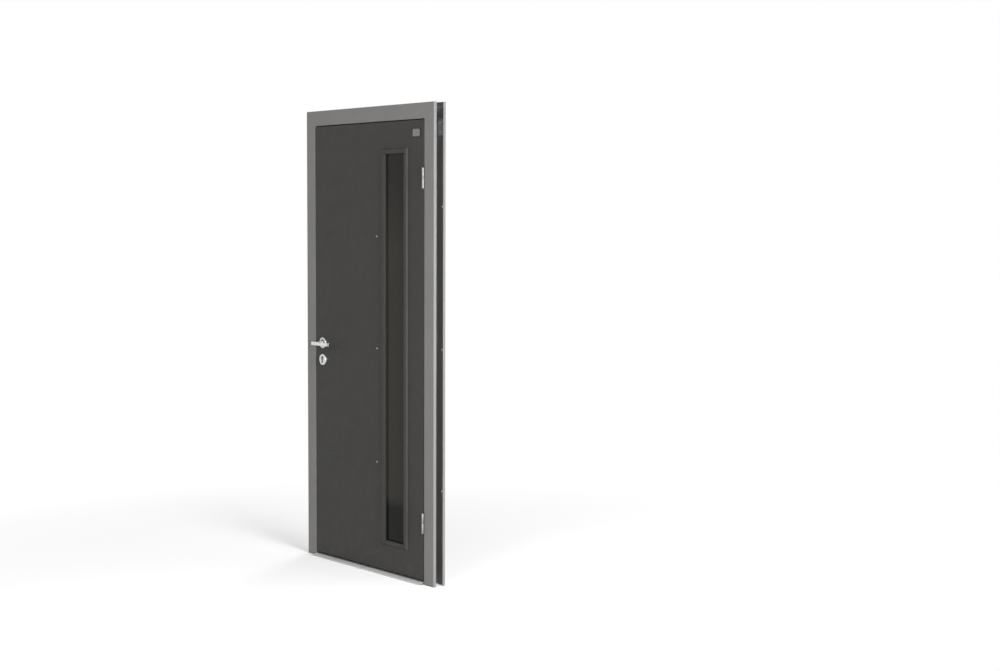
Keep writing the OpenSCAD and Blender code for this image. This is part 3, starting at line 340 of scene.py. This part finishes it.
def seal_rubber(name, base):
    """Matt extruded rubber with a dusty bloom."""
    rubber = Finish(name)
    bloom = rubber.spread(rubber.noise(60.0, detail=4.0), 0.0, 0.35, start=0.45, end=0.75)
    rubber.set("Base Color", rubber.mixed(bloom, base, toned(base, 2.4)))
    rubber.set("Roughness", rubber.spread(rubber.noise(150.0, detail=3.0), 0.62, 0.82))
    rubber.set("Normal", rubber.bump(rubber.noise(1300.0), depth=0.00008, strength=0.5))
    rubber.set("Specular IOR Level", 0.25)
    return rubber.material


def smoked_acrylic(name, base):
    """Dark acrylic sheet: glossy, slightly wavy, with painted shade darkening its foot and its top."""
    sheet = Finish(name)
    height = sheet.split()[2]
    # Painted shade: the pane's colour runs darker towards its foot and its top.
    foot = sheet.spread(height, 0.32, 1.0, start=0.31, end=0.37)
    top = sheet.spread(height, 1.0, 0.60, start=1.50, end=1.80)
    painted_shade = sheet.maths("MULTIPLY", foot, top)
    # smears carries the painted shade along with a faint random tone.
    smears = sheet.maths("MULTIPLY", painted_shade, sheet.spread(sheet.noise(7.0, detail=4.0), 0.96, 1.04))
    sheet.set("Base Color", sheet.mixed(smears, (0.0, 0.0, 0.0), base))
    sheet.set("Roughness", sheet.spread(sheet.noise(11.0, detail=4.0), 0.05, 0.13))
    sheet.set("Normal", sheet.bump(sheet.noise(2.5, detail=1.0), depth=0.0012, strength=0.15))
    sheet.set("Specular IOR Level", 0.08)
    return sheet.material


def moulded_plastic(name, base):
    """Moulded plastic with a fine spark-eroded grain."""
    plastic = Finish(name)
    plastic.set("Base Color", plastic.tones(plastic.noise(80.0), base, 1.0, 1.5))
    plastic.set("Roughness", plastic.spread(plastic.noise(300.0), 0.45, 0.60))
    plastic.set("Normal", plastic.bump(plastic.noise(1600.0), depth=0.00005, strength=0.5))
    return plastic.material


def background_rays(tree):
    """A socket that is 1 on camera, glossy and transmission rays and 0 on the rest."""
    rays = tree.nodes.new("ShaderNodeLightPath")
    total = rays.outputs["Is Camera Ray"]
    for name in ("Is Glossy Ray", "Is Transmission Ray"):
        top = tree.nodes.new("ShaderNodeMath")
        top.operation = "MAXIMUM"
        tree.links.new(total, top.inputs[0])
        tree.links.new(rays.outputs[name], top.inputs[1])
        total = top.outputs[0]
    return total


def paint(material, *nodes):
    """Gives CAD nodes one material."""
    for node in nodes:
        slots = NODES[node].data.materials
        slots.clear()
        slots.append(material)


def paint_slot(material, slot):
    """Gives every CAD node of a material slot one material."""
    paint(material, *(node for node, own_slot in SLOT_OF.items() if own_slot == slot))


# Modelling

HARD_EDGE = math.radians(35.0)
SCREW_STEPS = 20
STUD_STEPS = 24
DOME_STEPS = 6
RIB_ROWS = 4

# A screw's head from the rim of its recess outwards, in shares of its radius and its height
PAN_HEAD = ((0.62, 0.0), (0.84, 0.10), (0.96, 0.34), (1.0, 0.62), (1.0, 1.0))
SUNK_HEAD = ((0.62, 0.0), (0.97, 0.0), (1.0, 0.03))

# The cross recess in shares of the head's radius, its taper, and its depth
RECESS_ARM = 0.52
RECESS_HALF = 0.10
RECESS_TAPER = 0.72
RECESS_DEPTH_SHARE = 0.6
RECESS_DEEPEST = 0.0016
SCREW_TIP = 0.25


def soften(width, segments, *nodes):
    """Rounds the hard edges of CAD nodes with live modifiers."""
    for node in nodes:
        piece = NODES[node]
        weld = piece.modifiers.new("Weld", "WELD")
        weld.merge_threshold = SAME_POINT
        bevel = piece.modifiers.new("Edges", "BEVEL")
        bevel.width = width
        bevel.segments = segments
        bevel.limit_method = "ANGLE"
        bevel.angle_limit = HARD_EDGE
        bevel.use_clamp_overlap = True
        bevel.harden_normals = False


def placed(name, bm, material):
    """Turns a bmesh into an object at the origin."""
    mesh = bpy.data.meshes.new(name)
    bm.to_mesh(mesh)
    bm.free()
    mesh.materials.append(material)
    piece = bpy.data.objects.new(name, mesh)
    bpy.context.scene.collection.objects.link(piece)
    return piece


def finished(name, bm, body, slot, material, *replaced):
    """Turns a bmesh into a piece that rides on a body."""
    bmesh.ops.recalc_face_normals(bm, faces=bm.faces)
    piece = placed(name, bm, material)
    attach(piece, body)
    if replaced:
        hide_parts(*replaced)


def rounded(bm, edges, width, segments):
    """Rounds edges of a bmesh."""
    bmesh.ops.bevel(
        bm, geom=edges, offset=width, segments=segments, profile=0.5, affect="EDGES", material=-1
    )


def block(bm, low, high):
    """Adds a box between two corners."""
    made = bmesh.ops.create_cube(bm, size=1.0)["verts"]
    bmesh.ops.scale(bm, verts=made, vec=high - low)
    bmesh.ops.translate(bm, verts=made, vec=(low + high) / 2)


def turned(bm, profile, steps):
    """Spins a profile of (radius, height) about Z and returns the new vertices."""
    start = len(bm.verts)
    verts = [bm.verts.new((radius, 0.0, height)) for radius, height in profile]
    edges = [bm.edges.new(pair) for pair in zip(verts, verts[1:])]
    bmesh.ops.spin(
        bm,
        geom=verts + edges,
        cent=(0.0, 0.0, 0.0),
        axis=UP,
        angle=math.tau,
        steps=steps,
        use_merge=True,
    )
    bm.verts.ensure_lookup_table()
    return bm.verts[start:]


def solids_of(node):
    """Boxes (low, high) of a node's separate solids, in a fixed order."""
    copy = bmesh.new()
    copy.from_mesh(NODES[node].data)
    bmesh.ops.remove_doubles(copy, verts=copy.verts, dist=SAME_POINT)
    left = set(copy.verts)
    boxes = []
    while left:
        queue = [left.pop()]
        found = []
        while queue:
            vert = queue.pop()
            found.append(vert.co.copy())
            near = [edge.other_vert(vert) for edge in vert.link_edges]
            queue.extend(other for other in near if other in left)
            left.difference_update(near)
        low = Vector(min(point[axis] for point in found) for axis in range(3))
        high = Vector(max(point[axis] for point in found) for axis in range(3))
        boxes.append((low, high))
    copy.free()
    return sorted(boxes, key=lambda box: tuple(round(value, 5) for value in box[0]))


def cross_recess(bm, rim, arm, half, depth):
    """Sinks a cross into the open rim of a head."""
    height = rim[0].verts[0].co.z
    verts = []
    for turn in range(4):
        quarter = Matrix.Rotation(turn * QUARTER_TURN, 3, "Z")
        for x, y in ((arm, -half), (arm, half), (half, half)):
            verts.append(bm.verts.new(quarter @ Vector((x, y, height))))
    edges = [bm.edges.new(pair) for pair in zip(verts, verts[1:] + verts[:1])]
    bmesh.ops.triangle_fill(bm, use_beauty=True, edges=rim + edges, normal=UP)
    sunk = bmesh.ops.extrude_edge_only(bm, edges=edges)["geom"]
    foot = [item for item in sunk if isinstance(item, bmesh.types.BMVert)]
    bmesh.ops.translate(bm, verts=foot, vec=(0.0, 0.0, -depth))
    bmesh.ops.scale(bm, verts=foot, vec=(RECESS_TAPER, RECESS_TAPER, 1.0))
    rails = [item for item in sunk if isinstance(item, bmesh.types.BMEdge)]
    floor = [edge for edge in rails if all(vert in foot for vert in edge.verts)]
    bmesh.ops.edgeloop_fill(bm, edges=floor)


def screw(bm, place, outward, head, head_r, head_h, shank_r, total):
    """Adds one screw: place is the middle of the head's outer face, outward its direction."""
    one = bmesh.new()
    profile = [(head_r * out, -head_h * down) for out, down in head]
    profile += [(shank_r, -head_h), (shank_r, shank_r - total), (shank_r * SCREW_TIP, -total)]
    turned(one, profile, SCREW_STEPS)
    ends = [edge for edge in one.edges if edge.is_boundary]
    rim = [edge for edge in ends if edge.verts[0].co.z > -SAME_POINT]
    tip = [edge for edge in ends if edge.verts[0].co.z < -SAME_POINT]
    bmesh.ops.edgeloop_fill(one, edges=tip)
    depth = min(head_h * RECESS_DEPTH_SHARE, RECESS_DEEPEST)
    cross_recess(one, rim, head_r * RECESS_ARM, head_r * RECESS_HALF, depth)
    bmesh.ops.recalc_face_normals(one, faces=one.faces)
    turn = UP.rotation_difference(outward).to_matrix().to_4x4()
    bmesh.ops.transform(one, matrix=Matrix.Translation(place) @ turn, verts=one.verts)
    mesh = bpy.data.meshes.new("screw")
    one.to_mesh(mesh)
    one.free()
    bm.from_mesh(mesh)
    bpy.data.meshes.remove(mesh)


def screws(node, axis, side, head, head_h, shank_share, material):
    """Replaces a node of screws that lie along an axis.

    side is the end that holds the head: 1, -1, or 0 for the end away from the door's middle.
    """
    bm = bmesh.new()
    for low, high in solids_of(node):
        place = (low + high) / 2
        facing = side or math.copysign(1.0, place[axis])
        outward = Vector((0.0, 0.0, 0.0))
        outward[axis] = facing
        place[axis] = high[axis] if facing > 0 else low[axis]
        across = (axis + 1) % 3
        head_r = (high[across] - low[across]) / 2
        screw(bm, place, outward, head, head_r, head_h, head_r * shank_share, high[axis] - low[axis])
    finished(node + "_detailed", bm, BODY_OF[node], SLOT_OF[node], material, node)


# Operators


class SHEDDOOR_OT_coat_leaf(bpy.types.Operator):
    """Coats the leaf's skins, bezel and retainer"""

    bl_idname = "shed_door.coat_leaf"
    bl_label = "Coat Leaf"

    def execute(self, context):
        colours = context.scene.shed_door_colours
        coat = powder_coat("leaf_coat", colours.leaf, colours.dust, rough=0.48, gloss=0.16)
        paint(coat, "outer_skin", "inner_skin", "window_bezel", "window_retainer")
        return {"FINISHED"}


class SHEDDOOR_OT_fit_studs(bpy.types.Operator):
    """Fits a small domed stud at the window end of each bead"""

    bl_idname = "shed_door.fit_studs"
    bl_label = "Fit Studs"

    def execute(self, context):
        sizes = context.scene.shed_door_sizes
        colours = context.scene.shed_door_colours
        profile = [(0.0, -sizes.stud_sunk), (sizes.stud_radius, -sizes.stud_sunk)]
        for step in range(DOME_STEPS + 1):
            turn = QUARTER_TURN * step / DOME_STEPS
            profile.append((sizes.stud_radius * math.cos(turn), sizes.stud_height * math.sin(turn)))
        outward = Matrix.Rotation(QUARTER_TURN, 4, "X")
        bm = bmesh.new()
        for height in (sizes.bead_low, middle("outer_rose").z, sizes.bead_high):
            made = turned(bm, profile, STUD_STEPS)
            place = Matrix.Translation((sizes.bead_end, 0.0, height))
            bmesh.ops.transform(bm, matrix=place @ outward, verts=made)
        bmesh.ops.remove_doubles(bm, verts=bm.verts, dist=SAME_POINT)
        for face in bm.faces:
            face.smooth = True
        metal = brushed_metal("stud_metal", colours.plate, grain=(260.0, 260.0, 260.0), rough=0.34)
        finished("bead_studs", bm, "leaf", "stainless", metal)
        return {"FINISHED"}


class SHEDDOOR_OT_coat_frame(bpy.types.Operator):
    """Coats the jambs and the head"""

    bl_idname = "shed_door.coat_frame"
    bl_label = "Coat Frame"

    def execute(self, context):
        colours = context.scene.shed_door_colours
        coat = powder_coat("frame_coat", colours.frame, colours.dust, rough=0.46, gloss=0.25)
        paint(coat, "hinge_jamb", "lock_jamb", "frame_head")
        return {"FINISHED"}


class SHEDDOOR_OT_glaze_window(bpy.types.Operator):
    """Finishes the pane, its gasket, the door seal and the nylon pieces"""

    bl_idname = "shed_door.glaze_window"
    bl_label = "Glaze Window"

    def execute(self, context):
        colours = context.scene.shed_door_colours
        paint(smoked_acrylic("smoked_acrylic", colours.acrylic), "window_pane")
        paint(seal_rubber("seal_rubber", colours.rubber), "frame_seal", "glazing_gasket")
        paint_slot(moulded_plastic("black_nylon", colours.nylon), "bearing_plastic")
        return {"FINISHED"}


class SHEDDOOR_OT_finish_metal(bpy.types.Operator):
    """Finishes the hinges, levers, roses, lock and hidden steel"""

    bl_idname = "shed_door.finish_metal"
    bl_label = "Finish Metal"

    def execute(self, context):
        colours = context.scene.shed_door_colours
        sizes = context.scene.shed_door_sizes
        upright_grain = (1300.0, 1300.0, 9.0)
        level_grain = (10.0, 1300.0, 1300.0)
        hinge_grain = (900.0, 900.0, 9.0)
        zinc = zinc_plate("zinc_plated_steel", colours.zinc)
        upright = brushed_metal("brushed_upright", colours.stainless, upright_grain)
        level = brushed_metal("brushed_level", colours.stainless, level_grain)
        # Painted highlight and shade: the levers and key roses take the lighter handle colour, the lever
        # roses the darker plain stainless.
        lever_rings = turned_metal("turned_lever_rose", colours.stainless, middle("outer_rose"), rough=0.38)
        lit_handle_finish = brushed_metal("lit_handle_steel", colours.handle, level_grain, rough=0.36)
        dull = brushed_metal("dull_hinge", colours.hinge, hinge_grain, rough=0.52)
        key_rings = turned_metal("turned_key_rose", colours.handle, middle("outer_key_rose"), rough=0.40)
        # Painted shade: the cylinder and plug get the darker nickel in place of the shade on the cylinder's
        # face.
        shaded_nickel = turned_metal("shaded_nickel_metal", colours.shaded_nickel, middle("cylinder_plug"), rough=0.40)
        handles = ("outer_lever", "inner_lever", "thumb_turn")
        bolts = ("latch_bolt", "dead_bolt")
        hinges = [
            end + "_hinge_" + half + "_leaf" for end in ("upper", "lower") for half in ("frame", "door")
        ]
        paint_slot(zinc, "zinc_plate")
        paint_slot(upright, "stainless")
        paint(lit_handle_finish, *handles)
        paint(level, *bolts)
        paint(lever_rings, "outer_rose", "inner_rose")
        paint(key_rings, "outer_key_rose", "inner_key_rose")
        paint(shaded_nickel, "lock_cylinder", "cylinder_plug")
        paint(dull, *hinges)
        soften(sizes.handle_round, 3, *handles)
        soften(sizes.hinge_round, 2, *hinges)
        soften(sizes.bolt_round, 2, "lock_forend", *bolts)
        return {"FINISHED"}


class SHEDDOOR_OT_finish_threshold(bpy.types.Operator):
    """Finishes the threshold and gives its tread grip ribs"""

    bl_idname = "shed_door.finish_threshold"
    bl_label = "Finish Threshold"

    def execute(self, context):
        sizes = context.scene.shed_door_sizes
        base = context.scene.shed_door_colours.sill
        metal = brushed_metal("extruded_aluminium", base, grain=(3.0, 900.0, 900.0), rough=0.52, bare=0.4)
        paint(metal, "threshold")
        soften(sizes.hinge_round, 2, "threshold")
        low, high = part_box("threshold")
        left = low.x + sizes.rib_from_end
        right = high.x - sizes.rib_from_end
        foot = sizes.tread_height - sizes.rib_sunk
        top = sizes.tread_height + sizes.rib_height
        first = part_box("hinge_jamb")[0].y - sizes.rib_from_jamb
        bm = bmesh.new()
        for row in range(RIB_ROWS):
            back = first - row * sizes.rib_pitch
            block(bm, Vector((left, back - sizes.rib_width, foot)), Vector((right, back, top)))
        rounded(bm, bm.edges[:], sizes.rib_edge, 1)
        finished("threshold_ribs", bm, "frame", "sill_aluminium", metal)
        return {"FINISHED"}


class SHEDDOOR_OT_fit_plate(bpy.types.Operator):
    """Fits a small bare plate with a raised rim near the leaf's top hinge corner"""

    bl_idname = "shed_door.fit_plate"
    bl_label = "Fit Bare Plate"

    def execute(self, context):
        sizes = context.scene.shed_door_sizes
        base = context.scene.shed_door_colours.plate
        low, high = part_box("outer_skin")
        centre = Vector((high.x - sizes.plate_edge, low.y, high.z - sizes.plate_drop))
        half = Vector((sizes.plate_width / 2, 0.0, sizes.plate_height / 2))
        thick = Vector((0.0, sizes.plate_thick, 0.0))
        bm = bmesh.new()
        block(bm, centre - half - thick, centre + half)
        corners = [edge for edge in bm.edges if edge.calc_length() < 2 * sizes.plate_thick]
        rounded(bm, corners, sizes.plate_corner, 5)
        face = self.front(bm)
        rounded(bm, face.edges[:], sizes.plate_step, 2)
        face = self.front(bm)
        bmesh.ops.inset_region(bm, faces=[face], thickness=sizes.plate_rim, depth=0.0)
        bmesh.ops.inset_region(bm, faces=[face], thickness=sizes.plate_step, depth=-sizes.plate_step)
        metal = brushed_metal("plate_metal", base, grain=(12.0, 1200.0, 1200.0), rough=0.42)
        finished("bare_plate", bm, "leaf", "stainless", metal)
        return {"FINISHED"}

    def front(self, bm):
        """The large face that looks outwards."""
        outer = [face for face in bm.faces if face.normal.y < -0.99]
        return max(outer, key=lambda face: face.calc_area())


class SHEDDOOR_OT_fit_screws(bpy.types.Operator):
    """Replaces the plain screws by screws with cross recesses"""

    bl_idname = "shed_door.fit_screws"
    bl_label = "Fit Screws"

    def execute(self, context):
        pan_h = context.scene.shed_door_sizes.pan_height
        steel = NODES["lock_forend"].data.materials[0]
        zinc = NODES["lock_case"].data.materials[0]
        screws("retainer_screws", Y_AXIS, 1, PAN_HEAD, pan_h, 0.50, zinc)
        screws("corner_screws", Y_AXIS, 1, PAN_HEAD, pan_h, 0.50, steel)
        screws("threshold_screws", X_AXIS, 0, PAN_HEAD, pan_h, 0.50, steel)
        screws("strike_screws", X_AXIS, 1, SUNK_HEAD, 0.0015, 0.56, steel)
        screws("forend_screws", X_AXIS, -1, SUNK_HEAD, 0.0022, 0.53, steel)
        screws("cylinder_screw", X_AXIS, -1, SUNK_HEAD, 0.0022, 0.58, steel)
        screws("hinge_frame_screws", X_AXIS, -1, SUNK_HEAD, 0.0018, 0.54, steel)
        screws("hinge_door_screws", X_AXIS, 1, SUNK_HEAD, 0.0018, 0.54, steel)
        return {"FINISHED"}


class SHEDDOOR_OT_set_stage(bpy.types.Operator):
    """Sets the floor, the light and the camera"""

    bl_idname = "shed_door.set_stage"
    bl_label = "Set Stage"

    def execute(self, context):
        scene = context.scene
        stage = scene.shed_door_stage
        scene.view_settings.view_transform = "Standard"
        self.lay_floor(scene, stage)
        self.light_sky(scene, stage)
        self.hang_lamp(scene, "key_light", stage.key_power, size=2.4, place=(3.0, -5.6, 3.0))
        self.hang_lamp(scene, "side_light", stage.side_power, size=2.0, place=(5.2, -0.6, 1.8))
        self.hang_lamp(scene, "back_light", stage.back_power, size=2.4, place=(-3.6, 5.4, 3.2))
        camera = bpy.data.objects.new("camera", bpy.data.cameras.new("camera"))
        camera.data.lens = stage.camera_lens
        camera.data.sensor_width = 36.0
        camera.location = stage.camera_place
        camera.rotation_euler = stage.camera_turn
        scene.collection.objects.link(camera)
        scene.camera = camera
        return {"FINISHED"}

    def hang_lamp(self, scene, name, power, size, place):
        """Hangs a round soft lamp that faces the middle of the door."""
        light = bpy.data.lights.new(name, "AREA")
        light.energy = power
        light.shape = "DISK"
        light.size = size
        lamp = bpy.data.objects.new(name, light)
        lamp.location = place
        door_middle = Vector((0.0, 0.0, 1.0))
        lamp.rotation_euler = (door_middle - lamp.location).to_track_quat("-Z", "Y").to_euler()
        scene.collection.objects.link(lamp)

    def lay_floor(self, scene, stage):
        """Lays a floor that holds the door's shadow and turns white further off."""
        finish = Finish("studio_floor")
        nodes = finish.tree.nodes
        nodes.remove(finish.shader)
        base = (*scene.shed_door_colours.floor, 1.0)
        matt = finish.add("ShaderNodeBsdfDiffuse", Color=base).outputs[0]
        seen = background_rays(finish.tree)
        lift = finish.maths("MULTIPLY", seen, stage.floor_glow)
        glow = finish.add("ShaderNodeEmission", Strength=lift).outputs[0]
        lifted = nodes.new("ShaderNodeAddShader")
        finish.feed(lifted.inputs[0], matt)
        finish.feed(lifted.inputs[1], glow)
        local = finish.split()
        away = finish.distance(local[0], local[1])
        far = finish.spread(away, 0.0, 1.0, start=stage.shadow_near, end=stage.shadow_far)
        white = finish.add("ShaderNodeEmission", Strength=1.0).outputs[0]
        blend = finish.add("ShaderNodeMixShader", Fac=finish.maths("MULTIPLY", seen, far))
        finish.feed(blend.inputs[1], lifted.outputs[0])
        finish.feed(blend.inputs[2], white)
        finish.feed(nodes["Material Output"].inputs["Surface"], blend.outputs[0])
        bm = bmesh.new()
        bmesh.ops.create_grid(bm, x_segments=1, y_segments=1, size=60.0)
        floor = placed("floor", bm, finish.material)

    def light_sky(self, scene, stage):
        """Lights the scene evenly all round and shows a white background."""
        world = scene.world or bpy.data.worlds.new("sky")
        scene.world = world
        world.use_nodes = True
        tree = world.node_tree
        sky = tree.nodes["Background"]
        sky.inputs["Color"].default_value = (1.0, 1.0, 1.0, 1.0)
        level = tree.nodes.new("ShaderNodeMapRange")
        level.inputs["To Min"].default_value = stage.sky
        level.inputs["To Max"].default_value = 1.0
        tree.links.new(background_rays(tree), level.inputs["Value"])
        tree.links.new(level.outputs[0], sky.inputs["Strength"])


# Panel and registration


class SHEDDOOR_PT_panel(bpy.types.Panel):
    """Lists the door's steps and settings"""

    bl_label = "Shed Door"
    bl_idname = "SHEDDOOR_PT_panel"
    bl_space_type = "VIEW_3D"
    bl_region_type = "UI"
    bl_category = "Shed Door"

    def draw(self, context):
        """Draws the settings and one button for each step."""
        layout = self.layout
        for name, group in GROUPS.items():
            settings = getattr(context.scene, name)
            box = layout.box()
            for setting in group.__annotations__:
                box.prop(settings, setting)
        for step in STEPS:
            layout.operator(step.bl_idname)


GROUPS = {
    "shed_door_colours": ShedDoorColours,
    "shed_door_sizes": ShedDoorSizes,
    "shed_door_stage": ShedDoorStage,
}
STEPS = (
    SHEDDOOR_OT_coat_leaf,
    SHEDDOOR_OT_fit_studs,
    SHEDDOOR_OT_coat_frame,
    SHEDDOOR_OT_glaze_window,
    SHEDDOOR_OT_finish_metal,
    SHEDDOOR_OT_finish_threshold,
    SHEDDOOR_OT_fit_plate,
    SHEDDOOR_OT_fit_screws,
    SHEDDOOR_OT_set_stage,
)
CLASSES = (*GROUPS.values(), *STEPS, SHEDDOOR_PT_panel)


def register():
    """Registers the classes and gives the scene its settings."""
    for member in CLASSES:
        bpy.utils.register_class(member)
    for name, group in GROUPS.items():
        setattr(bpy.types.Scene, name, PointerProperty(type=group))


def unregister():
    """Takes the settings and the classes away again."""
    for name in GROUPS:
        delattr(bpy.types.Scene, name)
    for member in reversed(CLASSES):
        bpy.utils.unregister_class(member)


def main():
    """Dresses the door step by step."""
    register()
    bpy.ops.shed_door.coat_leaf()
    bpy.ops.shed_door.fit_studs()
    bpy.ops.shed_door.coat_frame()
    bpy.ops.shed_door.glaze_window()
    bpy.ops.shed_door.finish_metal()
    bpy.ops.shed_door.finish_threshold()
    bpy.ops.shed_door.fit_plate()
    bpy.ops.shed_door.fit_screws()
    bpy.ops.shed_door.set_stage()


if __name__ == "__main__":
    main()
